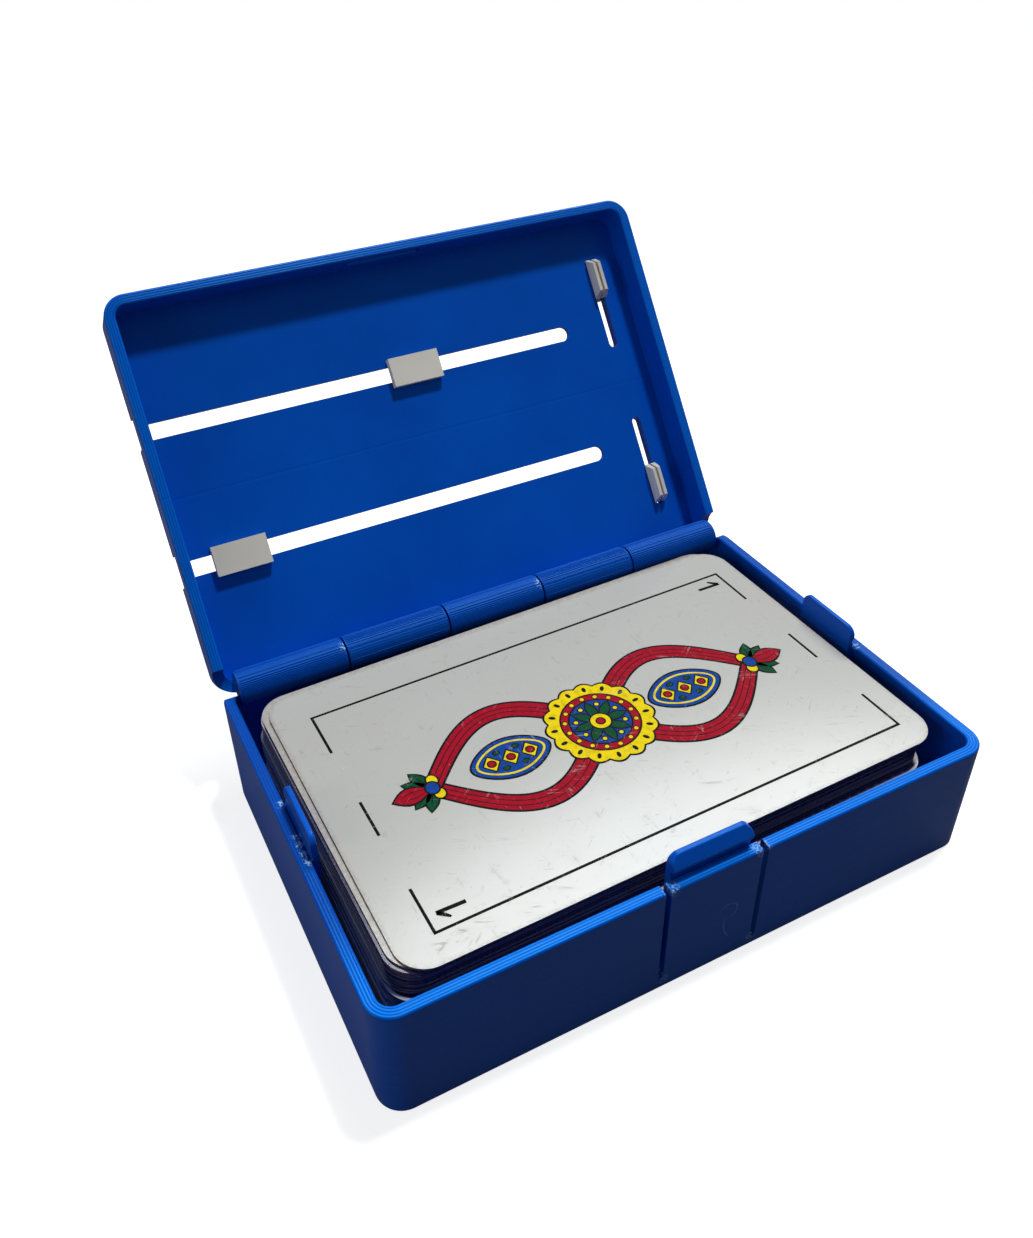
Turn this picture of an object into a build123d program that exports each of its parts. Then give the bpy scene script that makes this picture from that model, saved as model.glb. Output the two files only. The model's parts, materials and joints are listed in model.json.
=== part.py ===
from build123d import *
from math import cos, radians, sin, sqrt
import os

# A printed card box with a hinged, score-keeping lid and a pack of cards.
# Frame: X along the long side, +Y towards the hinge, +Z up, and the origin at the centre of
# the underside. The lid is modelled closed and then swung to the open angle it rests at.

# The pack of cards sets the size of the box.
CARD_LENGTH = 95.0
CARD_WIDTH = 61.0
CARD_THICKNESS = 0.4
CARD_CORNER = 5.0
CARD_COUNT = 50
LOOSE_CARDS = 14
PACKETS = 6

# Printed walls.
WALL = 2.0
FLOOR = 2.0
CARD_CLEARANCE = 3.7
HEADROOM = 0.2
OUTER_CORNER = 4.2
RIM_ROUND = 0.4
FOOT_CHAMFER = 0.3

INNER_LENGTH = CARD_LENGTH + 2 * CARD_CLEARANCE
INNER_DEPTH = CARD_WIDTH + 2 * CARD_CLEARANCE
INNER_CORNER = OUTER_CORNER - WALL
BOX_LENGTH = INNER_LENGTH + 2 * WALL
BOX_DEPTH = INNER_DEPTH + 2 * WALL
TRAY_HEIGHT = FLOOR + CARD_COUNT * CARD_THICKNESS + HEADROOM

# Lid shell.
LID_GAP = 0.1
LID_HEIGHT = 8.0
LID_PANEL = 2.0
CROWN_ROUND = 1.0
LID_RIM = TRAY_HEIGHT + LID_GAP
LID_TOP = LID_RIM + LID_HEIGHT
PANEL_FACE = LID_TOP - LID_PANEL
OPEN_ANGLE = 125.7

# Hinge: five knuckles on one pin, level with the tray's rim.
HINGE_INSET = 1.0
HINGE_Y = BOX_DEPTH / 2 - HINGE_INSET
HINGE_Z = TRAY_HEIGHT
KNUCKLE_COUNT = 5
KNUCKLE_PITCH = 20.0
KNUCKLE_GAP = 0.4
KNUCKLE_RADIUS = 3.0
KNUCKLE_CLEARANCE = 0.4
HINGE_END = KNUCKLE_COUNT * KNUCKLE_PITCH / 2
LID_CORNER_SWEEP = 4.0
TRAY_CORNER_CUT = 2.8
STOP_LENGTH = 3.6
PIN_DIAMETER = 1.75
PIN_SEAT = 0.02
PIN_RUNNING_FIT = 0.08
PIN_END_WALL = 1.2
PIN_RECESS = 0.4

# Latch tongue in the front wall, and the two side tabs.
TONGUE_WIDTH = 16.0
SLIT = 1.0
HOOK_WIDTH = 14.0
HOOK_REACH = 0.8
SIDE_TAB_WIDTH = 12.6
SIDE_TAB_Y = -0.5
SIDE_TAB_SET_BACK = 0.3
SIDE_TAB_RIDGE = 0.15
TAB_PAD = 1.3
TAB_RISE = 4.2
TAB_DROP = 5.4
TAB_CORNER = 1.0
LIP_HEIGHT = 1.9
LIP_NOSE = 0.4
LIP_UNDERSIDE = 0.4
CATCH_CLEARANCE = 0.25

# Score slides: a long slot each, open at the left so that the slide can be put in.
SLOT_OFFSET = 12.75
SLOT_WIDTH = 3.0
SLOT_END = 35.5
TRACK_WIDTH = 5.9
TRACK_DEPTH = 1.0
SLIDE_LENGTH = 10.2
SLIDE_WIDTH = 5.5
SLIDE_THICKNESS = 1.5
SLIDE_PLAY = 0.3
NECK_LENGTH = 8.2
NECK_WIDTH = 2.6
FOOT_LENGTH = 8.4
FOOT_PLAY = 0.2
GRIP_LENGTH = 6.4
GRIP_WIDTH = 3.6
GRIP_HEIGHT = 2.0
UPPER_SLIDE_X = 0.7
LOWER_SLIDE_X = -41.7

# Game markers: a split clip through a short slot each.
MARKER_X = 45.0
MARKER_SLOT_WIDTH = 2.0
MARKER_SLOT_LENGTH = 18.8
MARKER_SLOT_OFFSET = 17.0
MARKER_LENGTH = 8.2
MARKER_STEM = 1.8
MARKER_SPLIT = 0.5
MARKER_BARB = 0.3
MARKER_REACH = 2.4
MARKER_END_SLOPE = 1.2
MARKER_HEAD_WIDTH = 5.4
MARKER_HEAD_CORNER = 1.0
MARKER_HEAD_HEIGHT = 2.0
UPPER_MARKER_Y = -22.2
LOWER_MARKER_Y = 21.9

# The loose cards, from the top one down: shift along X, shift along Y and turn in degrees.
LOOSE_CARD_PLACES = [
    (0.5, -0.5, 0.8),
    (-0.5, 0.6, 1.0),
    (-0.9, 0.1, 0.8),
    (-0.8, -0.1, 0.9),
    (-1.0, -0.2, 0.7),
    (-0.9, 0.0, 0.8),
    (-1.1, -0.2, 0.6),
    (-1.0, -0.3, 0.8),
    (-1.1, -0.3, 0.6),
    (-1.2, -0.4, 0.7),
    (-1.5, -0.2, 0.9),
    (-1.3, -0.3, 0.5),
    (-1.4, -1.5, 0.6),
    (-1.5, -0.3, 0.6),
]
PACKET_PLACES = [
    (-1.3, -0.6, 0.4),
    (-1.5, -0.4, 0.6),
    (-1.3, -0.5, 0.3),
    (-1.5, -0.3, 0.5),
    (-1.4, -0.6, 0.4),
    (-1.6, -0.4, 0.6),
]

PAST = 1.0


def block(length, depth, height, x=0.0, y=0.0, bottom=0.0):
    return Pos(x, y, bottom) * extrude(Rectangle(length, depth), height)


def rounded_block(length, depth, corner, bottom, top):
    return Pos(0, 0, bottom) * extrude(RectangleRounded(length, depth, corner), top - bottom)


def stadium(length, width, bottom, top, x=0.0, y=0.0, turn=0.0):
    outline = SlotOverall(length, width)
    return Pos(x, y, bottom) * Rot(0, 0, turn) * extrude(outline, top - bottom)


def bar(section, x_from, x_to):
    # A section drawn in Y and Z, made into a bar along X.
    face = Plane.YZ.offset(x_from) * make_face(Polyline(*section, close=True))
    return extrude(face, x_to - x_from, dir=(1, 0, 0))


def hinge_rod(radius, x_from, x_to):
    middle = Pos((x_from + x_to) / 2, HINGE_Y, HINGE_Z)
    return middle * Rot(0, 90, 0) * Cylinder(radius, x_to - x_from)


def opened(solid):
    return solid.rotate(Axis((0, HINGE_Y, HINGE_Z), (1, 0, 0)), -OPEN_ANGLE)


def from_axis(out, up):
    # A point beside the hinge axis, as Y and Z: out towards the back, up.
    return (HINGE_Y + out, HINGE_Z + up)


def knuckle_span(index):
    left = -HINGE_END + index * KNUCKLE_PITCH
    return left, left + KNUCKLE_PITCH


def knuckle_ends(index):
    left, right = knuckle_span(index)
    first = 0 if index == 0 else KNUCKLE_GAP / 2
    last = 0 if index == KNUCKLE_COUNT - 1 else KNUCKLE_GAP / 2
    return left + first, right - last


TRAY_KNUCKLES = range(0, KNUCKLE_COUNT, 2)
LID_KNUCKLES = range(1, KNUCKLE_COUNT, 2)


def tab(width, reach, set_back):
    # A tab on the inside of a wall: X along the wall, Y into the box from the wall's inner
    # face. Its pad runs down the wall, its lip stands out over the rim and its face slopes.
    rim = TRAY_HEIGHT
    lip = rim + LIP_HEIGHT
    top = rim + TAB_RISE
    section = [
        (0, rim - TAB_DROP),
        (TAB_PAD, rim - TAB_DROP + TAB_PAD),
        (TAB_PAD, top),
        (TAB_PAD / 3, top),
        (-reach, lip + LIP_NOSE),
        (-reach, lip),
        (set_back, lip - LIP_UNDERSIDE),
        (set_back, rim),
        (0, rim - RIM_ROUND),
    ]
    half = width / 2
    low = rim - TAB_DROP - PAST
    outline = Polyline(
        (-half, low),
        (half, low),
        (half, top - TAB_CORNER),
        (half - TAB_CORNER, top),
        (TAB_CORNER - half, top),
        (-half, top - TAB_CORNER),
        close=True,
    )
    cutter = extrude(Plane.XZ * make_face(outline), BOX_DEPTH / 2, both=True)
    return bar(section, -half, half) & cutter


def tray_walls():
    walls = rounded_block(BOX_LENGTH, BOX_DEPTH, OUTER_CORNER, 0, TRAY_HEIGHT)
    walls = chamfer(walls.edges().group_by(Axis.Z)[0], FOOT_CHAMFER)
    walls -= rounded_block(INNER_LENGTH, INNER_DEPTH, INNER_CORNER, FLOOR, TRAY_HEIGHT + PAST)
    return fillet(walls.edges().group_by(Axis.Z)[-1], RIM_ROUND)


def tray_knuckle(index):
    left, right = knuckle_ends(index)
    slope = KNUCKLE_RADIUS / sqrt(2)
    wall_back = HINGE_INSET
    wall_front = HINGE_INSET - WALL
    gusset = [
        from_axis(slope, -slope),
        from_axis(wall_back, -2 * slope + wall_back),
        from_axis(wall_front, -2 * slope - wall_front),
        from_axis(-slope, -slope),
        from_axis(0, 0),
    ]
    return hinge_rod(KNUCKLE_RADIUS, left, right) + bar(gusset, left, right)


def stop_cut(left, right):
    # The space that a lid knuckle's web takes when it lies open against the tray.
    section = [
        from_axis(KNUCKLE_RADIUS, 0),
        from_axis(KNUCKLE_RADIUS, LID_HEIGHT),
        from_axis(-KNUCKLE_RADIUS, LID_HEIGHT),
        from_axis(-KNUCKLE_RADIUS, 0),
    ]
    return opened(bar(section, left, right))


def corner_cut(side):
    # The tray's back corners slope down, clear of the lid's corners.
    back = BOX_DEPTH / 2
    section = [
        (back - TRAY_CORNER_CUT, TRAY_HEIGHT + PAST),
        (back - TRAY_CORNER_CUT, TRAY_HEIGHT),
        (back + PAST, TRAY_HEIGHT - TRAY_CORNER_CUT - PAST),
        (back + PAST, TRAY_HEIGHT + PAST),
    ]
    outside = BOX_LENGTH / 2 + PAST
    ends = (HINGE_END, outside) if side > 0 else (-outside, -HINGE_END)
    return bar(section, *ends)


def make_tray():
    tray = tray_walls()
    gap = TONGUE_WIDTH + 2 * SLIT
    front = -BOX_DEPTH / 2
    tray -= block(gap, 2 * WALL, TRAY_HEIGHT, y=front, bottom=FLOOR)
    for side in (-1, 1):
        tray -= corner_cut(side)
    for index in LID_KNUCKLES:
        left, right = knuckle_span(index)
        left -= KNUCKLE_GAP / 2
        right += KNUCKLE_GAP / 2
        tray -= hinge_rod(KNUCKLE_RADIUS + KNUCKLE_CLEARANCE, left, right)
        tray -= stop_cut(left, right)
    for index in TRAY_KNUCKLES:
        tray += tray_knuckle(index)
    bore = PIN_DIAMETER / 2 + PIN_SEAT
    tray -= hinge_rod(bore, -HINGE_END - PAST, HINGE_END - PIN_END_WALL)
    side_tab = tab(SIDE_TAB_WIDTH, -SIDE_TAB_RIDGE, SIDE_TAB_SET_BACK)
    wall_face = INNER_LENGTH / 2
    tray += Pos(-wall_face, SIDE_TAB_Y, 0) * Rot(0, 0, -90) * side_tab
    tray += Pos(wall_face, SIDE_TAB_Y, 0) * Rot(0, 0, 90) * side_tab
    return tray


def make_latch():
    front = -BOX_DEPTH / 2
    tongue = tray_walls() & block(TONGUE_WIDTH, 2 * WALL, TRAY_HEIGHT, y=front, bottom=FLOOR)
    hook = Pos(0, -INNER_DEPTH / 2, 0) * tab(HOOK_WIDTH, HOOK_REACH, 0.0)
    return tongue + hook


def make_pin():
    return hinge_rod(PIN_DIAMETER / 2, PIN_RECESS - HINGE_END, HINGE_END - PIN_END_WALL)


def lid_walls():
    walls = rounded_block(BOX_LENGTH, BOX_DEPTH, OUTER_CORNER, LID_RIM, LID_TOP)
    walls = fillet(walls.edges().group_by(Axis.Z)[-1], CROWN_ROUND)
    walls -= rounded_block(INNER_LENGTH, INNER_DEPTH, INNER_CORNER, LID_RIM - PAST, PANEL_FACE)
    return fillet(walls.edges().group_by(Axis.Z)[0], RIM_ROUND)


def slide_cuts(side):
    # The slot, the sunk track on the outside and the window in the left wall.
    y = side * SLOT_OFFSET
    left = -BOX_LENGTH / 2 - PAST
    slot_length = SLOT_END - left
    slot_x = (SLOT_END + left) / 2
    cuts = stadium(slot_length, SLOT_WIDTH, PANEL_FACE - PAST, LID_TOP + PAST, slot_x, y)
    track_end = SLOT_END + (TRACK_WIDTH - SLOT_WIDTH) / 2
    track_bottom = LID_TOP - TRACK_DEPTH
    track_x = (track_end + left) / 2
    cuts += stadium(track_end - left, TRACK_WIDTH, track_bottom, LID_TOP + PAST, track_x, y)
    sill = PANEL_FACE - SLIDE_PLAY - SLIDE_THICKNESS - FOOT_PLAY
    width = WALL + PAST
    window_x = -BOX_LENGTH / 2 + WALL - width / 2
    window = block(width, TRACK_WIDTH, LID_TOP + PAST - sill, window_x, y, sill)
    return cuts + window


def marker_slot(side):
    y = side * MARKER_SLOT_OFFSET
    bottom = PANEL_FACE - PAST
    return stadium(MARKER_SLOT_LENGTH, MARKER_SLOT_WIDTH, bottom, LID_TOP + PAST, MARKER_X, y, 90)


def catch_groove():
    # The groove in the lid's front wall that the latch's lip springs into.
    wall_face = -INNER_DEPTH / 2
    bottom = TRAY_HEIGHT + LIP_HEIGHT - CATCH_CLEARANCE
    top = bottom + LIP_NOSE + 2 * CATCH_CLEARANCE
    depth = HOOK_REACH + CATCH_CLEARANCE
    section = [
        (wall_face + PAST, bottom - LIP_UNDERSIDE),
        (wall_face, bottom - LIP_UNDERSIDE),
        (wall_face - depth, bottom),
        (wall_face - depth, top),
        (wall_face, top + depth),
        (wall_face + PAST, top + depth),
    ]
    half = HOOK_WIDTH / 2 + CATCH_CLEARANCE
    return bar(section, -half, half)


def lid_knuckle(index):
    left, right = knuckle_ends(index)
    slope = KNUCKLE_RADIUS / sqrt(2)
    wall_back = HINGE_INSET
    wall_front = HINGE_INSET - WALL
    web = [
        from_axis(KNUCKLE_RADIUS, 0),
        from_axis(KNUCKLE_RADIUS, STOP_LENGTH),
        from_axis(wall_back, STOP_LENGTH + KNUCKLE_RADIUS - wall_back),
        from_axis(wall_front, STOP_LENGTH + KNUCKLE_RADIUS - wall_back),
        from_axis(wall_front, 2 * slope + wall_front),
        from_axis(-slope, slope),
        from_axis(0, 0),
    ]
    return hinge_rod(KNUCKLE_RADIUS, left, right) + bar(web, left, right)


def make_lid():
    lid = lid_walls()
    for side in (-1, 1):
        lid -= slide_cuts(side)
        lid -= marker_slot(side)
    lid -= catch_groove()
    outside = BOX_LENGTH / 2 + PAST
    lid -= hinge_rod(KNUCKLE_RADIUS + KNUCKLE_CLEARANCE, -HINGE_END, HINGE_END)
    lid -= hinge_rod(LID_CORNER_SWEEP, -outside, -HINGE_END)
    lid -= hinge_rod(LID_CORNER_SWEEP, HINGE_END, outside)
    for index in LID_KNUCKLES:
        lid += lid_knuckle(index)
    lid -= hinge_rod(PIN_DIAMETER / 2 + PIN_RUNNING_FIT, -HINGE_END, HINGE_END)
    return opened(lid)


def make_slide(x, side):
    y = side * SLOT_OFFSET
    plate_top = PANEL_FACE - SLIDE_PLAY
    plate_bottom = plate_top - SLIDE_THICKNESS
    foot_bottom = LID_TOP - TRACK_DEPTH + FOOT_PLAY
    plate = block(SLIDE_LENGTH, SLIDE_WIDTH, SLIDE_THICKNESS, x, y, plate_bottom)
    neck = stadium(NECK_LENGTH, NECK_WIDTH, plate_top, foot_bottom, x, y)
    foot = stadium(FOOT_LENGTH, SLIDE_WIDTH, foot_bottom, LID_TOP, x, y)
    grip = stadium(GRIP_LENGTH, GRIP_WIDTH, LID_TOP, LID_TOP + GRIP_HEIGHT, x, y)
    grip = chamfer(grip.edges().group_by(Axis.Z)[-1], RIM_ROUND)
    return opened(plate + neck + foot + grip)


def make_marker(y):
    # Two sprung prongs with barbs and sloped ends, a neck in the slot and a head on top.
    tip = PANEL_FACE - MARKER_REACH
    barb = PANEL_FACE - FOOT_PLAY
    neck_half = MARKER_STEM / 2
    barb_half = neck_half + MARKER_BARB
    section = [
        (-neck_half, tip),
        (-barb_half, (tip + barb) / 2),
        (-barb_half, barb),
        (barb_half, barb),
        (barb_half, (tip + barb) / 2),
        (neck_half, tip),
    ]
    prongs = Plane.XZ * make_face(Polyline(*section, close=True))
    clip = extrude(prongs, MARKER_LENGTH, both=True)
    half = MARKER_LENGTH / 2
    sloped = [
        (-half, barb),
        (half, barb),
        (half - MARKER_END_SLOPE, tip),
        (MARKER_END_SLOPE - half, tip),
    ]
    clip &= bar(sloped, -barb_half, barb_half)
    head_bottom = LID_TOP + FOOT_PLAY
    clip += stadium(MARKER_LENGTH, MARKER_STEM, barb, head_bottom, turn=90)
    clip -= block(MARKER_SPLIT, MARKER_LENGTH + PAST, PANEL_FACE + PAST - tip, bottom=tip)
    head_top = LID_TOP + MARKER_HEAD_HEIGHT
    head = rounded_block(MARKER_HEAD_WIDTH, MARKER_LENGTH, MARKER_HEAD_CORNER, head_bottom, head_top)
    head = chamfer(head.edges().group_by(Axis.Z)[-1], RIM_ROUND)
    return opened(Pos(MARKER_X, y, 0) * (clip + head))


def cards(place, level, count):
    # Squared-up cards, counted up from the tray's floor.
    x, y, turn = place
    bottom = FLOOR + level * CARD_THICKNESS
    outline = RectangleRounded(CARD_LENGTH, CARD_WIDTH, CARD_CORNER)
    return Pos(x, y, bottom) * Rot(0, 0, turn) * extrude(outline, count * CARD_THICKNESS)


pieces = {
    "base_tray": make_tray(),
    "front_latch": make_latch(),
    "hinge_pin": make_pin(),
    "lid_shell": make_lid(),
    "upper_slide": make_slide(UPPER_SLIDE_X, -1),
    "lower_slide": make_slide(LOWER_SLIDE_X, 1),
    "upper_marker": make_marker(UPPER_MARKER_Y),
    "lower_marker": make_marker(LOWER_MARKER_Y),
}
packet_size = (CARD_COUNT - LOOSE_CARDS) // PACKETS
for index, place in enumerate(PACKET_PLACES):
    pieces[f"card_packet_{index + 1}"] = cards(place, index * packet_size, packet_size)
for index, place in enumerate(LOOSE_CARD_PLACES):
    pieces[f"card_{index + 1:02d}"] = cards(place, CARD_COUNT - 1 - index, 1)

os.makedirs("parts", exist_ok=True)
for name, piece in pieces.items():
    piece.label = name
    export_step(piece, f"parts/{name}.step")
    print(f"{name:16s} {piece.volume:10.1f} mm3")
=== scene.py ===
import bmesh
import bpy
import json
import math
from mathutils import Matrix, Vector


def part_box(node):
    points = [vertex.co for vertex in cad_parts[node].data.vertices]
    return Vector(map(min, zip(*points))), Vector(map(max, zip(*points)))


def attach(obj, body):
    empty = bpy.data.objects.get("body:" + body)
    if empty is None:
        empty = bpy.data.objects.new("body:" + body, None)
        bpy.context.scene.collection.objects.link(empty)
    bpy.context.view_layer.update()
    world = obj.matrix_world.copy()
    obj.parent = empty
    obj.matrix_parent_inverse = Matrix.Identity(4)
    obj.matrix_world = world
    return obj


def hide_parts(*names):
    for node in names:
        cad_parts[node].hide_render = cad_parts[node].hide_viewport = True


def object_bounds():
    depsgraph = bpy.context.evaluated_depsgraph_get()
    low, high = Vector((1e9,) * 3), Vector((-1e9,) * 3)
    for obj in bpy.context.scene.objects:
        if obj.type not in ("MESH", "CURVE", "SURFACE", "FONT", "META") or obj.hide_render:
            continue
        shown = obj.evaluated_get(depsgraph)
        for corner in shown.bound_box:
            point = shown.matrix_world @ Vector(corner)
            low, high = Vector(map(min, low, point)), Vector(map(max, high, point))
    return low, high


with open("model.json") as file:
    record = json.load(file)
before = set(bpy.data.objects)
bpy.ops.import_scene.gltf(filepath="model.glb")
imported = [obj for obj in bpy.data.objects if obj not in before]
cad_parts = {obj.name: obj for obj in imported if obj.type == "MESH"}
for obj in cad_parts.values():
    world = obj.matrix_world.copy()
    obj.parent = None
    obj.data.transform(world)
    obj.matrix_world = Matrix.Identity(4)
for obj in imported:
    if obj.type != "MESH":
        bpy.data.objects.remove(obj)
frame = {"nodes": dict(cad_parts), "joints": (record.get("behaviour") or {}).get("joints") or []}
cadLow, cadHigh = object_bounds()
nodes = frame["nodes"]
joints = {joint["name"]: joint for joint in frame["joints"]}
mm = 0.001
hair = 1e-6  # metres: nothing that can be seen is as small
print("frame loaded:", len(nodes), "nodes")

# places that the frame gives
hingePoint = Vector(joints["lid_hinge"]["pos_m"])
openAngle = math.radians(-joints["lid_hinge"]["range_deg"][0])
lidTurn = Matrix.Rotation(-openAngle, 4, "X")
trayPlace = Matrix.Translation(hingePoint) @ Matrix.Scale(mm, 4)  # millimetres from the hinge axis, level
lidPlace = Matrix.Translation(hingePoint) @ lidTurn @ Matrix.Scale(mm, 4)  # the same, swung open with the lid


def operator(operation, reflected=False):
    # a method that adds one Math node
    if reflected:
        return lambda self, other: self.sum(operation, other, self)
    return lambda self, *others: self.sum(operation, self, *others)


class Field:
    # a socket in a node tree that takes part in Python sums
    def __init__(self, tree, socket):
        self.tree = tree
        self.socket = socket

    def sum(self, operation, *values):
        return self.tree.add("ShaderNodeMath", {"operation": operation}, dict(enumerate(values)))

    __add__ = operator("ADD")
    __radd__ = operator("ADD", True)
    __sub__ = operator("SUBTRACT")
    __rsub__ = operator("SUBTRACT", True)
    __mul__ = operator("MULTIPLY")
    __rmul__ = operator("MULTIPLY", True)
    __truediv__ = operator("DIVIDE")
    __pow__ = operator("POWER")
    __abs__ = operator("ABSOLUTE")
    fraction = operator("FRACT")
    cosine = operator("COSINE")
    sine = operator("SINE")
    above = operator("GREATER_THAN")
    atLeast = operator("MAXIMUM")
    atMost = operator("MINIMUM")

    def ramp(self, low, high):
        # 0 under low and 1 over high, with a soft step between
        values = {"Value": self, "From Min": low, "From Max": high}
        return self.tree.add("ShaderNodeMapRange", {"interpolation_type": "SMOOTHSTEP"}, values)


class Tree:
    # a node tree with one way of adding a node
    def __init__(self, nodeTree):
        self.links = nodeTree.links
        self.nodes = nodeTree.nodes
        self.nodes.clear()

    def add(self, kind, settings=None, inputs=None, output=0):
        node = self.nodes.new(kind)
        for key, value in (settings or {}).items():
            setattr(node, key, value)
        for key, value in (inputs or {}).items():
            socket = node.inputs[key]
            if isinstance(value, Field):
                self.links.new(value.socket, socket)
            else:
                socket.default_value = value
        return Field(self, node.outputs[output]) if node.outputs else None

    def shader(self, kind, *values, **named):
        # a node without settings, its inputs in order or by name
        return self.add("ShaderNode" + kind, None, {**dict(enumerate(values)), **named})

    def parts(self, vector):
        split = self.shader("SeparateXYZ", vector)
        outputs = split.socket.node.outputs
        return [Field(self, outputs[axis]) for axis in range(3)]


class Finish(Tree):
    # a material's tree
    def __init__(self, name):
        self.material = bpy.data.materials.new(name)
        self.material.use_nodes = True
        super().__init__(self.material.node_tree)

    def place(self, turn=(0, 0, 0), origin=(0, 0, 0)):
        # object coordinates in millimetres about an origin of the piece's own
        place = self.add("ShaderNodeTexCoord", output="Object")
        values = {"Vector": place, "Location": origin, "Rotation": turn, "Scale": (mm,) * 3}
        return self.add("ShaderNodeMapping", {"vector_type": "TEXTURE"}, values)

    def facing(self, turn=(0, 0, 0)):
        # the true normal in the piece's own directions
        normal = self.add("ShaderNodeTexCoord", output="Normal")
        settings = {"vector_type": "TEXTURE"}
        return self.add("ShaderNodeMapping", settings, {"Vector": normal, "Rotation": turn})

    def turned(self, vector, angle, middle=(0, 0, 0)):
        values = {"Vector": vector, "Center": middle, "Angle": angle}
        return self.add("ShaderNodeVectorRotate", {"rotation_type": "Z_AXIS"}, values)

    def stretch(self, vector, factors):
        settings = {"operation": "MULTIPLY"}
        return self.add("ShaderNodeVectorMath", settings, {0: vector, 1: factors})

    def farFrom(self, vector, point):
        settings = {"operation": "DISTANCE"}
        return self.add("ShaderNodeVectorMath", settings, {0: vector, 1: point}, "Value")

    def noise(self, vector, scale, detail=2.0, roughness=0.5):
        values = {"Vector": vector, "Scale": scale, "Detail": detail, "Roughness": roughness}
        return self.add("ShaderNodeTexNoise", {"noise_dimensions": "3D"}, values)

    def tint(self, factor, first, second):
        # the node's sockets for colours come after those for numbers and vectors
        return self.add("ShaderNodeMix", {"data_type": "RGBA"}, {0: factor, 6: first, 7: second}, 2)

    def bump(self, height):
        return self.shader("Bump", Height=height, Distance=mm, Strength=1.0)

    def done(self, **values):
        named = {key.replace("_", " "): value for key, value in values.items()}
        self.shader("OutputMaterial", self.shader("BsdfPrincipled", **named))
        return self.material


def placed(name, data):
    made = bpy.data.objects.new(name, data)
    bpy.context.scene.collection.objects.link(made)
    return made


def moved(place, x, y=0.0, z=0.0):
    return place @ Matrix.Translation((x, y, z))


def asMesh(made):
    # what an object shows, as a plain mesh
    depsgraph = bpy.context.evaluated_depsgraph_get()
    mesh = bpy.data.meshes.new_from_object(made.evaluated_get(depsgraph))
    bpy.data.objects.remove(made)
    return mesh


class Pattern(Tree):
    # a Geometry Nodes tree that repeats the shape of the piece it is on
    def __init__(self, name, *sizes):
        self.group = bpy.data.node_groups.new(name, "GeometryNodeTree")
        super().__init__(self.group)
        self.sizes = sizes
        self.keys = {}
        kinds = {"Geometry": "Geometry", "Material": "Material", "Count": "Int", "Seed": "Int"}
        for label in ("Geometry", "Material", *sizes):
            kind = "NodeSocket" + kinds.get(label, "Float")
            socket = self.group.interface.new_socket(label, in_out="INPUT", socket_type=kind)
            self.keys[label] = socket.identifier
        self.group.interface.new_socket("Geometry", in_out="OUTPUT", socket_type="NodeSocketGeometry")
        self.given = self.nodes.new("NodeGroupInput")

    def size(self, label):
        return Field(self, self.given.outputs[label])

    def points(self, position):
        return self.add("GeometryNodePoints", None, {"Count": self.size("Count"), "Position": position})

    def index(self):
        return self.add("GeometryNodeInputIndex")

    def vector(self, x=0.0, y=0.0, z=0.0):
        return self.shader("CombineXYZ", x, y, z)

    def spin(self, angle):
        return self.add("FunctionNodeAxisAngleToRotation", None, {"Axis": (0, 0, 1), "Angle": angle})

    def end(self, points, rotation=None):
        values = {"Points": points, "Instance": self.size("Geometry")}
        if rotation is not None:
            values["Rotation"] = rotation
        copies = self.add("GeometryNodeInstanceOnPoints", None, values)
        solid = self.add("GeometryNodeRealizeInstances", None, {"Geometry": copies})
        values = {"Geometry": solid, "Material": self.size("Material")}
        dressed = self.add("GeometryNodeSetMaterial", None, values)
        self.add("NodeGroupOutput", None, {0: dressed})

    def grow(self, shape, material, **sizes):
        # the repeated shape as a plain mesh
        piece = placed("growing", shape)
        modifier = piece.modifiers.new("repeat", "NODES")
        modifier.node_group = self.group
        modifier[self.keys["Material"]] = material
        for label, value in sizes.items():
            modifier[self.keys[label]] = value
        return asMesh(piece)


def sRgb(red, green, blue):
    # a colour as an eye picks it, 0 to 255, as the linear one that the shader takes
    parts = [value / 255 for value in (red, green, blue)]
    return tuple(v / 12.92 if v <= 0.04045 else ((v + 0.055) / 1.055) ** 2.4 for v in parts) + (1.0,)


def beyondEdge(u, v, shape):
    # millimetres beyond the rounded outline of a box or a card, less than 0 inside it
    sideU = abs(u) - (shape["length"] / 2 - shape["corner"])
    sideV = abs(v) - (shape["width"] / 2 - shape["corner"])
    outU = sideU.atLeast(0.0)
    outV = sideV.atLeast(0.0)
    return (outU * outU + outV * outV) ** 0.5 + sideU.atLeast(sideV).atMost(0.0) - shape["corner"]


def dress(name, material):
    mesh = nodes[name].data
    mesh.materials.clear()
    mesh.materials.append(material)


def finished(name, shape):
    mesh = bpy.data.meshes.new(name)
    shape.to_mesh(mesh)
    shape.free()
    return mesh


def mount(name, mesh, body):
    piece = placed(name, mesh)
    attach(piece, body)
    return piece


def gather(name, body, meshes, material):
    # one piece out of meshes that each have their own place, riding on a body
    whole = bmesh.new()
    for mesh, place in meshes:
        before = len(whole.verts)
        whole.from_mesh(mesh)
        whole.verts.ensure_lookup_table()
        bmesh.ops.transform(whole, matrix=place, verts=whole.verts[before:])
    bmesh.ops.remove_doubles(whole, verts=whole.verts, dist=hair / 100)
    bmesh.ops.recalc_face_normals(whole, faces=whole.faces)
    made = finished(name, whole)
    made.materials.clear()
    made.materials.append(material)
    for face in made.polygons:
        face.material_index = 0
    return mount(name, made, body)


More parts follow.
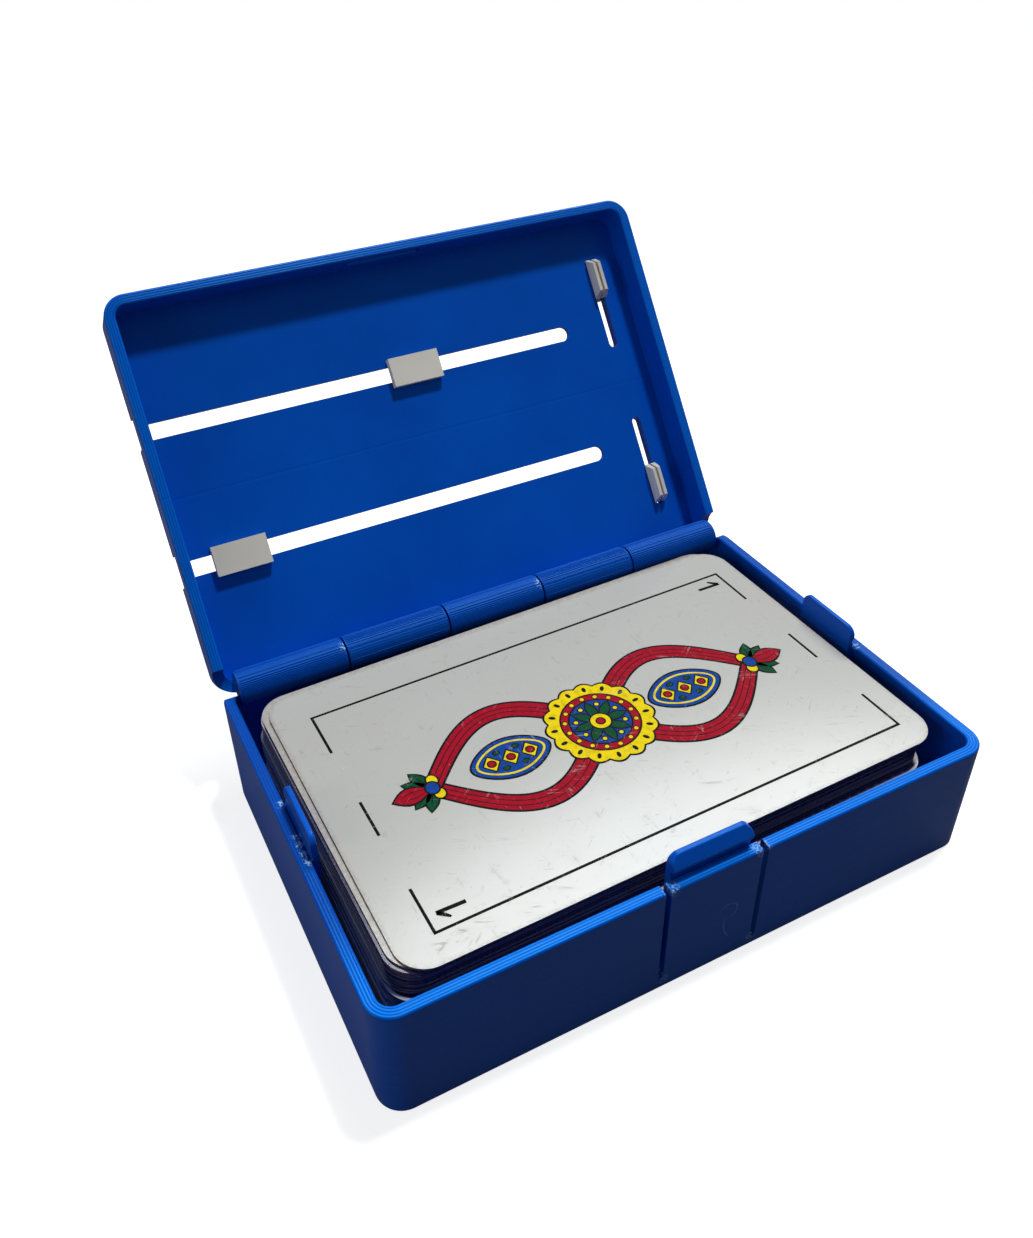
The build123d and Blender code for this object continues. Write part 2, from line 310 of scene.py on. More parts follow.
def tube(name, rings):
    # a closed mesh through rings of points
    shape = bmesh.new()
    loops = [[shape.verts.new(point) for point in ring] for ring in rings]
    for lower, upper in zip(loops, loops[1:]):
        for here in range(len(lower)):
            there = (here + 1) % len(lower)
            shape.faces.new((lower[here], lower[there], upper[there], upper[here]))
    shape.faces.new(reversed(loops[0]))
    shape.faces.new(loops[-1])
    bmesh.ops.recalc_face_normals(shape, faces=shape.faces)
    return finished(name, shape)


def prism(outline, low, high):
    return tube("prism", [[(x, y, height) for x, y in outline] for height in (low, high)])


# camera: the photograph's own
cameraView = {
    "azimuth": -25.23,
    "elevation": 35.09,
    "roll": -2.19,
    "distance": 0.2252,
    "aim": (0.0053, 0.0516, 0.020),
    "imageSize": (1033, 1238),
    "focalPixels": 1100.6,
    "middleOff": (-37.8, -55.6),
    "sensorWidth": 36.0,
    "clip": (0.01, 20.0),
}


def makeCamera(values):
    turn = math.radians(values["azimuth"])
    lift = math.radians(values["elevation"])
    roll = math.radians(values["roll"])
    back = Vector((math.sin(turn) * math.cos(lift), -math.cos(turn) * math.cos(lift), math.sin(lift)))
    right = Vector((math.cos(turn), math.sin(turn), 0.0))
    up = back.cross(right)
    rolledRight = right * math.cos(roll) + up * math.sin(roll)
    rolledUp = up * math.cos(roll) - right * math.sin(roll)
    longSide = max(values["imageSize"])
    data = bpy.data.cameras.new("photoCamera")
    data.sensor_width = values["sensorWidth"]
    data.lens = values["focalPixels"] / longSide * data.sensor_width
    data.shift_x = -values["middleOff"][0] / longSide
    data.shift_y = values["middleOff"][1] / longSide
    data.clip_start, data.clip_end = values["clip"]
    camera = placed("photoCamera", data)
    spin = Matrix((rolledRight, rolledUp, back)).transposed()
    stand = Matrix.Translation(Vector(values["aim"]) + back * values["distance"])
    camera.matrix_world = stand @ spin.to_4x4()
    bpy.context.scene.camera = camera


makeCamera(cameraView)
print("camera placed")

# light: a high soft lamp a little to the right, a long lamp behind for the sheen, a weak lamp at the left
studio = {
    "key": {"way": (0.26, 0.03, 0.97), "distance": 1.1, "size": (0.12, 0.12), "roll": 0.0, "power": 6.7},
    "sheen": {
        "way": (0.39, 0.45, 0.80),
        "distance": 1.3,
        "size": (0.92, 0.32),
        "roll": 30.0,
        "power": 8.4,
        "colour": (0.93, 0.98, 1.0),
    },
    "fill": {"way": (-0.93, -0.12, 0.34), "distance": 0.9, "size": (0.5, 0.5), "roll": 0.0, "power": 1.2},
    "roomLevel": 0.11,
    "roomGloss": 0.30,
    "floorBounce": 0.10,
    "floorGloss": 0.07,
    "floorShade": 0.60,
    "floorLit": 0.35,  # share of the shade that the lamps bring back where nothing is in their way
    "floorDrop": 0.02,
    "floorSize": 6.0,
    "floorFade": (180.0, 420.0),  # millimetres from the middle, over which it turns plain white
}


def makeLamp(name, values):
    data = bpy.data.lights.new(name + "Lamp", "AREA")
    data.shape = "ELLIPSE"
    data.size, data.size_y = values["size"]
    data.energy = values["power"]
    data.color = values.get("colour", (1.0, 1.0, 1.0))
    lamp = placed(name + "Lamp", data)
    way = Vector(values["way"]).normalized()
    place = Matrix.Translation((cadLow + cadHigh) / 2 + way * values["distance"])
    roll = Matrix.Rotation(math.radians(values["roll"]), 4, "Z")
    lamp.matrix_world = place @ way.to_track_quat("Z", "Y").to_matrix().to_4x4() @ roll


def shownTo(tree, glossShare):
    # how much of the white ground a ray sees: all of it straight on or through a clear part
    seen = tree.shader("LightPath")
    outputs = seen.socket.node.outputs
    straight = seen.atLeast(Field(tree, outputs["Is Transmission Ray"]))
    return straight.atLeast(Field(tree, outputs["Is Glossy Ray"]) * glossShare)


def makeRoom(values):
    world = bpy.data.worlds.new("paleRoom")
    bpy.context.scene.world = world
    world.use_nodes = True
    tree = Tree(world.node_tree)
    strengths = (values["roomLevel"], 1.0)
    room, white = (tree.shader("Background", (1, 1, 1, 1), strength) for strength in strengths)
    tree.shader("OutputWorld", tree.shader("MixShader", shownTo(tree, values["roomGloss"]), room, white))


def makeFloor(values):
    half = values["floorSize"] / 2
    drop = cadLow.z - values["floorDrop"] * mm
    mesh = bpy.data.meshes.new("paleFloor")
    corners = [(-half, -half, drop), (half, -half, drop), (half, half, drop), (-half, half, drop)]
    mesh.from_pydata(corners, [], [(0, 1, 2, 3)])
    floor = placed("paleFloor", mesh)
    finish = Finish("paleFloor")
    shade = values["floorShade"]
    glow = 1 - shade * values["floorLit"]
    tones = ((tone,) * 3 + (1,) for tone in (values["floorBounce"], shade))
    bounce, shaded = (finish.shader("BsdfDiffuse", tone) for tone in tones)
    bright, white = (finish.shader("Emission", (1, 1, 1, 1), strength) for strength in (glow, 1.0))
    farOut = finish.farFrom(finish.place(), (0, 0, 0)).ramp(*values["floorFade"])
    shown = finish.shader("MixShader", farOut, finish.shader("AddShader", shaded, bright), white)
    either = finish.shader("MixShader", shownTo(finish, values["floorGloss"]), bounce, shown)
    finish.shader("OutputMaterial", either)
    mesh.materials.append(finish.material)


for lampName in ("key", "sheen", "fill"):
    makeLamp(lampName, studio[lampName])
makeRoom(studio)
makeFloor(studio)
bpy.context.scene.view_settings.view_transform = "Standard"
print("room and lamps placed")

# printed plastic: layers across the walls, skin lines on the flats, perimeter lines on the rims
boxShape = {"length": 106.4, "width": 72.4, "corner": 4.2, "wall": 2.0}
printing = {
    "layer": 0.24,
    "layerHeight": 0.018,
    "bead": 0.46,
    "beadShift": 0.3,
    "beadHeight": 0.045,
    "skinHeight": 0.016,
    "skinTurn": math.radians(45),
    "skinCurve": 4,
    "grain": 0.004,
    "ior": 1.40,
    "level": (0.90, 0.985),  # the upright part of a normal, from a wall to a flat
    "open": (0.5, 0.9),  # the same, from a wall to the open rim
    "rimSlack": 0.1,
    "barrelReach": (3.1, 3.4),  # from the axis of the knuckles
    "grainNoise": (3.2, 4.0, 0.6),
    "streakStretch": (0.05, 0.05, 2.2),
    "streakNoise": (1.0, 3.0),
    "cloudNoise": (0.07, 3.0),
    "mottle": {"streak": 0.6, "cloud": 0.5, "shows": (0.25, 0.85)},
    # how far each painted shade darkens: in the seams, on the knuckles, in the rim's grooves, and on the rim
    # away from the front
    "deeper": {"seam": 0.35, "barrel": 0.8, "groove": 0.6, "rimShade": 0.85},
    "rougher": {"grain": 0.12, "seam": 0.10, "barrel": 0.18},
    # a faint scored groove, its darker tint painted shade
    "score": {"width": (0.05, 0.35), "depth": 0.02, "deeper": 0.25},
    "wallSeam": 0.5,
    "curl": {"width": (0.02, 0.13), "depth": 0.015, "paler": 0.4, "wholeTo": 0.6},
    "speck": {"noise": (2.6, 5.0, 0.7), "crowd": 0.18, "shows": (0.64, 0.72), "height": 0.02, "wholeTo": 0.2},
    "speckStretch": (1.0, 1.0, 1.6),
}
blueLook = {
    # deep: a darker tone for random mottling and for the painted shade in the seams
    "colour": sRgb(0, 88, 208),
    "deep": sRgb(0, 76, 188),
    "gloss": (0.12, 0.55, 1.0, 1.0),
    "roughness": 0.24,
    # rim: a paler blue, a painted highlight on the up-facing rim
    "rim": sRgb(0, 126, 244),
    # barrel: a darker blue, painted shade on the knuckles, in the rim's grooves and on the rim away from the
    # front
    "barrel": sRgb(0, 68, 168),
    "whitened": sRgb(150, 200, 250),
}
paleLook = {
    "colour": sRgb(238, 236, 228),
    # deep: a darker tone for random mottling and for the painted shade in the seams
    "deep": sRgb(218, 214, 204),
    "gloss": (1.0, 1.0, 1.0, 1.0),
    "roughness": 0.5,
    "rim": sRgb(238, 236, 228),
    "barrel": sRgb(238, 236, 228),
    "whitened": sRgb(250, 250, 250),
}


def printedPlastic(
    name, look, turn=(0, 0, 0), origin=(0, 0, 0), middle=0.0, rimSide=1, rimHighlight=1.0, rimHighlightFades=None,
    axis=(0, 0), strained=(), scored=(), curled=(),
):
    # rimSide: 1 where the rim faces up; after it, how strong the painted highlight on the up-facing rim is,
    # and where along Y that painted highlight gives way to painted shade
    # axis: Y and Z of the knuckles; strained: places whitened by bending; scored: heights of faint lines
    # curled: curved scratches, each a centre, a radius, and where on that ring it lies
    deeper, rougher, mottle = printing["deeper"], printing["rougher"], printing["mottle"]
    finish = Finish(name)
    spot = finish.place(turn, origin)
    x, y, z = finish.parts(spot)
    nx, ny, nz = finish.parts(finish.facing(turn))
    flat = abs(nz).ramp(*printing["level"])
    layers = (z / printing["layer"]).fraction() * 2 - 1
    layerRidge = (1 - layers * layers) * (1 - flat)
    inside = beyondEdge(x, y - middle, boxShape)
    rim = inside.above(-boxShape["wall"] - printing["rimSlack"])
    beads = (inside / printing["bead"] + printing["beadShift"]).fraction() * 2 - 1
    rimRidge = 1 - beads * beads
    along, across, up = finish.parts(finish.turned(spot, printing["skinTurn"]))
    strands = (across / printing["bead"]).fraction() * 2 - 1
    skinRidge = 1 - strands ** printing["skinCurve"]
    grain = finish.noise(spot, *printing["grainNoise"])
    streaks = finish.noise(finish.stretch(spot, printing["streakStretch"]), *printing["streakNoise"])
    cloud = finish.noise(spot, *printing["cloudNoise"])
    height = (
        layerRidge * printing["layerHeight"]
        + rimRidge * rim * flat * printing["beadHeight"]
        + skinRidge * (1 - rim) * flat * printing["skinHeight"]
        + grain * printing["grain"]
    )
    # painted shade: the grooves between layers on the walls and between lines on the flats are tinted towards
    # the deep colour
    wallSeams = (1 - layerRidge) * (1 - flat) * printing["wallSeam"]
    seams = (1 - (rimRidge * rim + skinRidge * (1 - rim))) * flat + wallSeams
    mottled = (streaks * mottle["streak"] + cloud * mottle["cloud"]).ramp(*mottle["shows"])
    base = finish.tint(mottled, look["deep"], look["colour"])
    base = finish.tint(seams * deeper["seam"], base, look["deep"])
    fromAxis = ((y - axis[0]) * (y - axis[0]) + (z - axis[1]) * (z - axis[1])) ** 0.5
    barrel = 1 - fromAxis.ramp(*printing["barrelReach"])
    # painted shade: the knuckles are tinted darker, standing in for the shade between their stepped layers
    base = finish.tint(barrel * deeper["barrel"], base, look["barrel"])
    # painted highlight: the up-facing rim is tinted paler along its beads, fully at the front and fading
    # towards the rear
    openRim = (nz * rimSide).ramp(*printing["open"]) * rim * (1 - barrel)
    rimLit = 1 - y.ramp(*rimHighlightFades) if rimHighlightFades else 1.0
    base = finish.tint(openRim * rimRidge * rimHighlight * rimLit, base, look["rim"])
    # painted shade in the grooves between the rim's lines
    base = finish.tint(openRim * (1 - rimRidge) ** 2 * deeper["groove"], base, look["barrel"])
    # painted shade on the rim away from the front, where its painted highlight has gone
    base = finish.tint(openRim * (1 - rimLit) * deeper["rimShade"], base, look["barrel"])
    score = printing["score"]
    for mark in scored:
        # painted shade: darker along each scored groove
        line = 1 - abs(y - mark).ramp(*score["width"])
        height = height - line * score["depth"]
        base = finish.tint(line * score["deeper"] * flat, base, look["deep"])
    curl = printing["curl"]
    for centre, radius, lies, reach in curled:
        line = 1 - abs(finish.farFrom(spot, centre) - radius).ramp(*curl["width"])
        line = line * (1 - finish.farFrom(spot, lies).ramp(reach * curl["wholeTo"], reach))
        base = finish.tint(line * curl["paler"], base, look["whitened"])
        height = height - line * curl["depth"]
    if strained:
        speck = printing["speck"]
        specks = finish.noise(finish.stretch(spot, printing["speckStretch"]), *speck["noise"])
        near = 0.0
        for point, reach in strained:
            close = 1 - finish.farFrom(spot, point).ramp(reach * speck["wholeTo"], reach)
            near = close.atLeast(near)
        marks = (specks + near * speck["crowd"]).ramp(*speck["shows"]) * near
        base = finish.tint(marks, base, look["whitened"])
        height = height + marks * speck["height"]
    rough = look["roughness"] + grain * rougher["grain"]
    rough = rough + seams * rougher["seam"] + barrel * rougher["barrel"]
    return finish.done(
        Base_Color=base,
        Roughness=rough,
        Normal=finish.bump(height),
        IOR=printing["ior"],
        Specular_Tint=look["gloss"],
    )


# filament: smooth, with faint lines along it
filament = {
    "stretch": (0.08, 3.0, 3.0),
    "noise": (1.5, 3.0),
    "deeper": 0.6,
    "roughness": 0.22,
    "lineRough": 0.1,
    "lineHeight": 0.01,
}


def drawnPlastic(name, look, values):
    finish = Finish(name)
    lines = finish.noise(finish.stretch(finish.place(), values["stretch"]), *values["noise"])
    return finish.done(
        Base_Color=finish.tint(lines * values["deeper"], look["colour"], look["deep"]),
        Roughness=values["roughness"] + lines * values["lineRough"],
        Normal=finish.bump(lines * values["lineHeight"]),
        IOR=printing["ior"],
        Specular_Tint=look["gloss"],
    )


# marks of use and of bending, and where the painted rim highlight ends, in millimetres from the middle of the
# tray
bent = {
    "tabReach": 1.5,
    "tongueReach": 2.6,
    "gapReach": 2.2,
    "gaps": (-30.0, 10.0),  # those between knuckles that are marked
    "gapOff": (-1.2, 2.6),
    # where along Y the painted highlight on the tray's rim gives way to painted shade
    "rimHighlightFades": (-32.0, -13.0),
    "curls": (
        ((2.9, -36.2, 11.3), 1.7, (3.6, -36.2, 11.8), 2.6),
        ((8.2, -36.2, 8.6), 5.8, (2.6, -36.2, 7.4), 3.0),
    ),
    "tabFoot": (51.6, 22.2),
    "tabMarks": (-7.0, -5.2, -3.4, -1.6, 5.8),
    "tongue": ((-8.0, -35.6, 22.0), (8.0, -35.6, 22.0), (-8.0, -35.2, 2.2), (8.0, -35.2, 2.2)),
}
lidMiddle = -hingePoint.y / mm
lidTurned = (-openAngle, 0, 0)
footX, footZ = bent["tabFoot"]
marks = [((side * footX, y, footZ), bent["tabReach"]) for side in (-1, 1) for y in bent["tabMarks"]]
marks += [(point, bent["tongueReach"]) for point in bent["tongue"]]
knuckleAxis = (hingePoint.y / mm, hingePoint.z / mm)
gapY, gapZ = (along + off for along, off in zip(knuckleAxis, bent["gapOff"]))
marks += [((gap, gapY, gapZ), bent["gapReach"]) for gap in bent["gaps"]]
used = {"strained": marks, "curled": bent["curls"], "rimHighlightFades": bent["rimHighlightFades"]}
trayPlastic = printedPlastic("trayPlastic", blueLook, axis=knuckleAxis, **used)
lidFrame = {"turn": lidTurned, "origin": hingePoint, "middle": lidMiddle, "rimSide": -1}
# the lid's rim gets a weaker painted highlight
lidPlastic = printedPlastic("lidPlastic", blueLook, rimHighlight=0.4, scored=(lidMiddle,), **lidFrame)
slidePlastic = printedPlastic("slidePlastic", paleLook, **lidFrame)
dress("base_tray", trayPlastic)
dress("front_latch", trayPlastic)
dress("hinge_pin", drawnPlastic("pinPlastic", blueLook, filament))
dress("lid_shell", lidPlastic)
for name in ("upper_slide", "lower_slide", "upper_marker", "lower_marker"):
    dress(name, slidePlastic)
print("printed plastic dressed")

# soft edges: the nozzle has rounded the latch's hook and the tops of the two side tabs
softened = {
    "segments": 4,
    "flat": 1.0,  # degrees: less than this between two faces is no edge
    "crease": 15.0,  # from here an edge is rounded
    "sharp": 35.0,  # from here it is shaded sharp
    "latchTongue": {
        "node": "front_latch",
        "body": "latch",
        "within": ((0.0, 9.0), (-37.0, -30.0)),  # how far out to either side, and where along Y
        "above": 22.4,
        "edge": 0.17,
        "cornersAbove": 25.3,
        "corner": 0.42,
        "across": 1,  # the axis that the rounded corners run along
    },
    "trayShell": {
        "node": "base_tray",
        "body": "tray",
        "within": ((49.5, 51.4), (-8.0, 8.0)),
        "above": 22.3,
        "edge": 0.22,
        "cornersAbove": 25.3,
        "corner": 0.6,
        "across": 0,
    },
}


def softCopy(name, values, shared):
    shape = bmesh.new()
    shape.from_mesh(nodes[values["node"]].data)
    bmesh.ops.remove_doubles(shape, verts=shape.verts, dist=hair / 10)
    (nearest, farthest), (front, rear) = values["within"]

    def inside(corner, height):
        x, y, z = corner.co / mm
        return nearest < abs(x) < farthest and front < y < rear and z > height

    def edgesAbove(height):
        return [edge for edge in shape.edges if all(inside(corner, height) for corner in edge.verts)]

    def soften(height, size, wanted):
        crease = math.radians(shared["crease"])
        creased = [edge for edge in edgesAbove(height) if edge.calc_face_angle(0.0) > crease]
        chosen = [edge for edge in creased if wanted(edge)]
        settings = {"offset": size * mm, "segments": shared["segments"], "profile": 0.5}
        bmesh.ops.bevel(shape, geom=chosen, affect="EDGES", clamp_overlap=True, **settings)

    def runsAcross(edge):
        one, other = (corner.co for corner in edge.verts)
        return all(abs(one[axis] - other[axis]) < hair for axis in range(3) if axis != values["across"])

    corners = [corner for corner in shape.verts if inside(corner, 0.0)]
    flat = math.radians(shared["flat"])
    bmesh.ops.dissolve_limit(shape, angle_limit=flat, verts=corners, edges=edgesAbove(0.0))
    soften(values["cornersAbove"], values["corner"], runsAcross)
    soften(values["above"], values["edge"], lambda edge: True)
    bmesh.ops.dissolve_degenerate(shape, dist=hair * mm, edges=edgesAbove(0.0))
    made = finished(name, shape)
    made.materials.append(trayPlastic)
    made.shade_smooth()
    made.set_sharp_from_angle(angle=math.radians(shared["sharp"]))
    softening = placed("softening", made)
    softening.modifiers.new("weigh", "WEIGHTED_NORMAL").keep_sharp = True
    piece = mount(name, asMesh(softening), values["body"])
    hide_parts(values["node"])


for softName in ("latchTongue", "trayShell"):
    softCopy(softName, softened[softName], softened)
print("latch and side tabs softened")

# hinge: the layers of the round knuckles stand as fine steps along them
hinge = {
    "knuckles": 5,
    "pitch": 20.0,
    "stepLength": 19.0,
    "radius": 3.0,
    "layer": 0.24,
    "stepSize": 0.12,
    "stepCorners": 6,
    "tip": (0.7, 0.4),  # how far a step's tip stands out and how thick it is there, in step sizes
    "sunk": 0.02,
    "lowest": 0.7,  # in radii below the axis
    "webFoot": 0.66,  # in radii above it
}


def stepShape(values):
    # a fine rounded bar along X, about its own middle
    half = values["stepLength"] / 2
    size = values["stepSize"]
    tip, thin = values["tip"]
    count = values["stepCorners"]
    angles = [math.tau * corner / count for corner in range(count)]
    rings = []
    for x, swell in ((-half - size * tip, thin), (-half, 1.0), (half, 1.0), (half + size * tip, thin)):
        reach = size * swell
        rings.append([(x, math.cos(angle) * reach, math.sin(angle) * reach) for angle in angles])
    return tube("step", rings)


def barrelPattern():
    # one bar for each layer, where the layer's edge lies on the barrel
    pattern = Pattern("layersOfBarrel", "Count", "Radius", "Layer", "Top", "Side")
    height = pattern.size("Top") - pattern.index() * pattern.size("Layer")
    radius = pattern.size("Radius")
    out = (radius * radius - height * height).atLeast(0.0) ** 0.5 * pattern.size("Side")
    pattern.end(pattern.points(pattern.vector(0.0, out, height)))
    return pattern


def makeSteps(values):
    shape = stepShape(values)
    pattern = barrelPattern()
    radius = values["radius"] - values["sunk"]
    layer = values["layer"]
    meshes = {"tray": [], "lid": []}
    for number in range(values["knuckles"]):
        onLid = number % 2 == 1
        body, place, finish = ("lid", lidPlace, lidPlastic) if onLid else ("tray", trayPlace, trayPlastic)
        middle = (number - (values["knuckles"] - 1) / 2) * values["pitch"]
        for side in (-1.0, 1.0):
            top = radius - 0.5 * layer
            low = -radius * values["lowest"]
            if onLid:  # the web joins the barrel from above
                top = radius * values["webFoot"] if side < 0 else -layer
                low = 0.5 * layer - radius
            count = int((top - low) / layer) + 1
            grown = pattern.grow(shape, finish, Count=count, Radius=radius, Layer=layer, Top=top, Side=side)
            meshes[body].append((grown, moved(place, middle)))
    gather("trayKnuckleLayers", "tray", meshes["tray"], trayPlastic)
    gather("lidKnuckleLayers", "lid", meshes["lid"], lidPlastic)


makeSteps(hinge)
print("knuckle layers grown")

# the lid's outside: a raised scale beside each track, nought to thirty
scale = {
    "face": 8.1,  # above the hinge axis with the lid shut
    "stand": 0.25,
    "first": -46.0,
    "last": 31.1,
    "steps": 30,
    "longEvery": 5,
    "numbered": 10,
    "track": 12.75,
    "tickFrom": 4.0,
    "tickWidth": 0.55,
    "tickLength": 1.6,
    "longTick": 2.6,
    "numberOff": 9.4,
    "numberSize": 4.4,
    "foot": 0.1,
    "roundSteps": 6,
    "numberSteps": 4,
}


def bar(width, length, height):
    # a raised bar with rounded ends, its foot in the panel
    radius = width / 2
    outline = []
    for end, start in ((length / 2 - radius, 0.0), (radius - length / 2, math.pi)):
        for corner in range(scale["roundSteps"] + 1):
            angle = start + math.pi * corner / scale["roundSteps"]
            outline.append((radius * math.cos(angle), end + radius * math.sin(angle)))
    return prism(outline, -scale["foot"], height)


def rowPattern():
    pattern = Pattern("barsInRow", "Count", "Pitch")
    pattern.end(pattern.points(pattern.vector(pattern.index() * pattern.size("Pitch"))))
    return pattern


def numeral(text, size, height):
    curve = bpy.data.curves.new("numeral", "FONT")
    curve.body = text
    curve.size = size
    curve.extrude = height / 2
    curve.align_x = "CENTER"
    curve.align_y = "CENTER"
    curve.resolution_u = scale["numberSteps"]
    return asMesh(placed("numeral", curve))


def makeScale(values):
    pattern = rowPattern()
    pitch = (values["last"] - values["first"]) / values["steps"]
    five = values["longEvery"]
    short = bar(values["tickWidth"], values["tickLength"], values["stand"])
    long = bar(values["tickWidth"], values["longTick"], values["stand"])
    meshes = []
    for side in (-1, 1):
        track = lidMiddle + side * values["track"]
        onFace = moved(lidPlace, values["first"], track, values["face"])
        shortAt = side * (values["tickFrom"] + values["tickLength"] / 2)
        longAt = side * (values["tickFrom"] + values["longTick"] / 2)
        fives = values["steps"] // five + 1
        grown = pattern.grow(long, lidPlastic, Count=fives, Pitch=pitch * five)
        meshes.append((grown, moved(onFace, 0, longAt)))
        for part in range(1, five):
            grown = pattern.grow(short, lidPlastic, Count=fives - 1, Pitch=pitch * five)
            meshes.append((grown, moved(onFace, part * pitch, shortAt)))
        for number in range(0, values["steps"] + 1, values["numbered"]):
            text = numeral(str(number), values["numberSize"], values["stand"] * 2)
            meshes.append((text, moved(onFace, number * pitch, side * values["numberOff"])))
    gather("lidScale", "lid", meshes, lidPlastic)


makeScale(scale)
print("lid scale raised")

# cards: coated board, white on the face, dark on the back, worn at the edge, their sides brown with grime and
# painted shade
cards = {
    "length": 95.0,
    "width": 61.0,
    "corner": 5.0,
    "thickness": 0.4,
    "floor": 2.0,
    "face": sRgb(183, 183, 179),
    "yellowed": sRgb(179, 174, 163),
    "scratch": sRgb(128, 124, 120),
    # edge: brown grime, darkened further as painted shade
    "edge": sRgb(124, 90, 80),
    "edgeLight": sRgb(150, 138, 130),
    # painted shade with a painted blue reflection, on the sides facing front and back
    "sideShadeBlue": sRgb(40, 46, 92),
    "back": sRgb(34, 38, 84),
    "backLine": sRgb(84, 84, 120),
    "border": sRgb(196, 194, 200),
    "roughness": 0.15,
    "faceUp": ("card_01", "card_02"),
    "topPlace": (0.5, -0.5, 0.8),
    "lowerPlace": (-1.4, -1.5, 0.6),
}
handling = {
    "scratchRows": ((0.4, 0.55, 0.10), (1.5, 0.7, 0.13), (2.5, 0.6, 0.16)),  # turn, scale, patchiness
    "scratchStretch": (0.06, 1.0, 1.0),
    "scratchDetail": (2.0, 0.6),
    "scratchWidth": (0.002, 0.010),
    "scratchPatch": {"scale": 3.0, "detail": (3.0, 0.7), "shows": (0.53, 0.66)},
    "cloudNoise": (0.045, 4.0, 0.6),
    "flecks": (1.6, 5.0, 0.7),
    # rubbed: brown along the card's edge, partly wear and partly painted shade
    "rubbed": {"reach": (0.0, 0.9), "shows": (0.30, 0.70), "share": 0.7},
    "dots": {"shows": (0.71, 0.76), "share": 0.5},
    "yellowing": {"from": 0.38, "share": 0.9},
    "scratched": 0.5,
    "lattice": {"turn": math.radians(45), "pitch": 1.3, "shows": (0.38, 0.46), "share": 0.5},
    "border": (0.35, 0.6),
}
board = {
    "facing": (0.6, 0.8),
    "fibreStretch": (0.6, 0.6, 4.0),
    "fibreNoise": (1.4, 5.0, 0.6),
    "fibres": {"shows": (0.52, 0.75), "share": 0.45},
    # gap: near-black painted shade between the stacked cards on the deck's sides
    "gap": {"width": (0.03, 0.16), "share": 0.65, "colour": (0.01, 0.008, 0.01, 1.0)},
    "endOn": (0.2, 0.8),
    "rougher": {"edge": 0.25, "scratch": 0.15, "fibre": 0.06},
    "height": {"fibre": 0.004, "scratch": 0.006},
    "ior": 1.5,
}


def cardInset(finish, spot, place):
    # millimetres in from the edge of a card that lies at a place, less than 0 beyond it
    x, y, turn = place
    turned = finish.turned(spot, math.radians(-turn), (x, y, 0))
    u, v, w = finish.parts(turned)
    return beyondEdge(u - x, v - y, cards) * -1, turned


def scratches(finish, spot, values):
    # fine curved lines in three directions, each in patches
    patchy = values["scratchPatch"]
    marks = 0.0
    for turn, size, patch in values["scratchRows"]:
        turned = finish.turned(spot, turn)
        drift = finish.noise(finish.stretch(turned, values["scratchStretch"]), size, *values["scratchDetail"])
        line = 1 - abs(drift - 0.5).ramp(*values["scratchWidth"])
        sparse = finish.noise(turned, patch * patchy["scale"], *patchy["detail"]).ramp(*patchy["shows"])
        marks = (line * sparse).atLeast(marks)
    return marks


def wornWhite(finish, spot, place, values):
    # the printed side of a handled card: cloudy white, scratched, and brown along its edge, partly rubbed
    # wear and partly painted shade
    rub, dot, yellow = values["rubbed"], values["dots"], values["yellowing"]
    inset, turned = cardInset(finish, spot, place)
    cloud = finish.noise(spot, *values["cloudNoise"])
    fleck = finish.noise(spot, *values["flecks"])
    # brown along the edge: partly wear, partly painted shade at the card's edge
    rubbed = (1 - inset.ramp(*rub["reach"])) * fleck.ramp(*rub["shows"])
    marks = scratches(finish, spot, values)
    dots = fleck.ramp(*dot["shows"]) * dot["share"]
    yellowed = (cloud - yellow["from"]).atLeast(0.0) * yellow["share"]
    colour = finish.tint(yellowed, cards["face"], cards["yellowed"])
    colour = finish.tint(marks.atLeast(dots) * values["scratched"], colour, cards["scratch"])
    return finish.tint(rubbed * rub["share"], colour, cards["edgeLight"]), marks


def darkBack(finish, spot, place, values):
    # a fine lattice inside a thin pale border
    lattice = values["lattice"]
    inset, turned = cardInset(finish, spot, place)
    u, v, w = finish.parts(finish.turned(turned, lattice["turn"]))
    across, along = (abs((way / lattice["pitch"]).fraction() - 0.5) for way in (u, v))
    lines = across.atLeast(along).ramp(*lattice["shows"])
    colour = finish.tint(lines * lattice["share"], cards["back"], cards["backLine"])
    return finish.tint(1 - inset.ramp(*values["border"]), colour, cards["border"])


